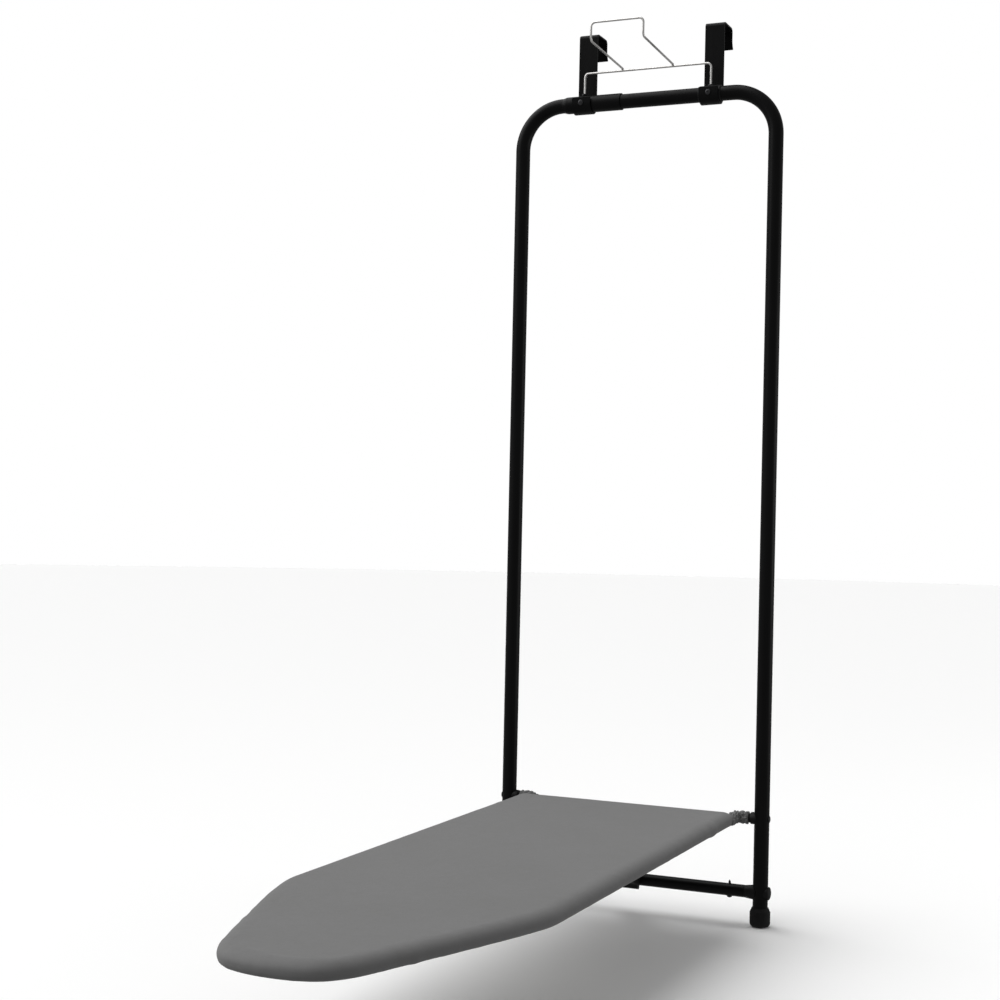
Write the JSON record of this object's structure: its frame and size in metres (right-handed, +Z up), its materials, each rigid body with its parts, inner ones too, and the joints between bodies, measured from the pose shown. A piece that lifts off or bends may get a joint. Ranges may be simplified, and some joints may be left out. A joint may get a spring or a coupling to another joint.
{
  "type": "over-the-door ironing board",
  "caption": "Ironing board that hangs on a door: tubular frame with strap hooks and a wire iron rest, and a padded board that folds up between the uprights.",
  "frame": {"origin": "the door's top front edge, midway between the two hooks, where the hooks' undersides rest", "axes": "+X along the door, +Y into the door, +Z up; the board in use reaches towards -Y"},
  "size_m": [0.4334, 1.1058, 1.3375],
  "materials": {
    "black_paint": "black powder coat, semi gloss",
    "black_plastic": "moulded satin",
    "black_rubber": "matt",
    "zinc_wire": "bright zinc plate",
    "fixing_steel": "dark zinc plate",
    "spring_steel": "oiled",
    "steel_mesh": "silver paint on expanded steel",
    "grey_cloth": "grey coated cotton",
    "pad_felt": "off-white felt pad",
    "door_foam": "black foam"
  },
  "bodies": {
    "frame": {"frame_tube_left": "black_paint", "frame_tube_right": "black_paint", "joint_screw": "fixing_steel", "hook_sleeve_right": "black_plastic", "crossbar": "black_paint", "door_hook_left": "black_paint", "hook_screw_left": "fixing_steel", "hook_pad_left": "door_foam", "rest_grommet_left": "black_plastic", "foot_left": "black_rubber", "crossbar_plug_left": "black_plastic", "crossbar_bolt_left": "fixing_steel", "crossbar_cap_left": "black_plastic", "plug_screw_left": "fixing_steel", "pivot_boss_left": "black_plastic", "pivot_bolt_left": "fixing_steel", "pivot_nut_left": "fixing_steel", "door_hook_right": "black_paint", "hook_screw_right": "fixing_steel", "hook_pad_right": "door_foam", "rest_grommet_right": "black_plastic", "foot_right": "black_rubber", "crossbar_plug_right": "black_plastic", "crossbar_bolt_right": "fixing_steel", "crossbar_cap_right": "black_plastic", "plug_screw_right": "fixing_steel", "pivot_boss_right": "black_plastic", "pivot_bolt_right": "fixing_steel", "pivot_nut_right": "fixing_steel"},
    "iron_rest": {"rest_base_wire": "zinc_wire", "rest_loop_wire": "zinc_wire"},
    "board": {"board_rail": "black_paint", "board_rear_tube": "black_paint", "cross_member_1": "black_paint", "cross_member_2": "black_paint", "cross_member_3": "black_paint", "cross_member_4": "black_paint", "board_sheet": "steel_mesh", "board_pad": "pad_felt", "board_cover": "grey_cloth", "rail_cap_left": "black_plastic", "rail_cap_right": "black_plastic", "cover_gather_left": "grey_cloth", "cover_gather_right": "grey_cloth", "bracket_rivet_left": "fixing_steel", "bracket_rivet_right": "fixing_steel", "prop_bracket": "black_paint", "prop_hinge_pin": "fixing_steel", "prop_clip": "spring_steel", "clip_rivet": "fixing_steel"},
    "prop": {"prop_channel": "black_paint", "prop_saddle": "black_plastic", "saddle_rivet": "fixing_steel"}
  },
  "joints": [
    {"name": "board_fold", "type": "hinge", "parent": "frame", "child": "board", "pos_m": [0, -0.0155, -1.178], "axis": [-1, 0, 0], "range_deg": [0, 90]},
    {"name": "prop_fold", "type": "hinge", "parent": "board", "child": "prop", "pos_m": [0, -0.3155, -1.194], "axis": [1, 0, 0], "range_deg": [0, 17]},
    {"name": "rest_lift", "type": "slide", "parent": "frame", "child": "iron_rest", "axis": [0, 0, 1], "range_m": [0, 0.016]}
  ]
}
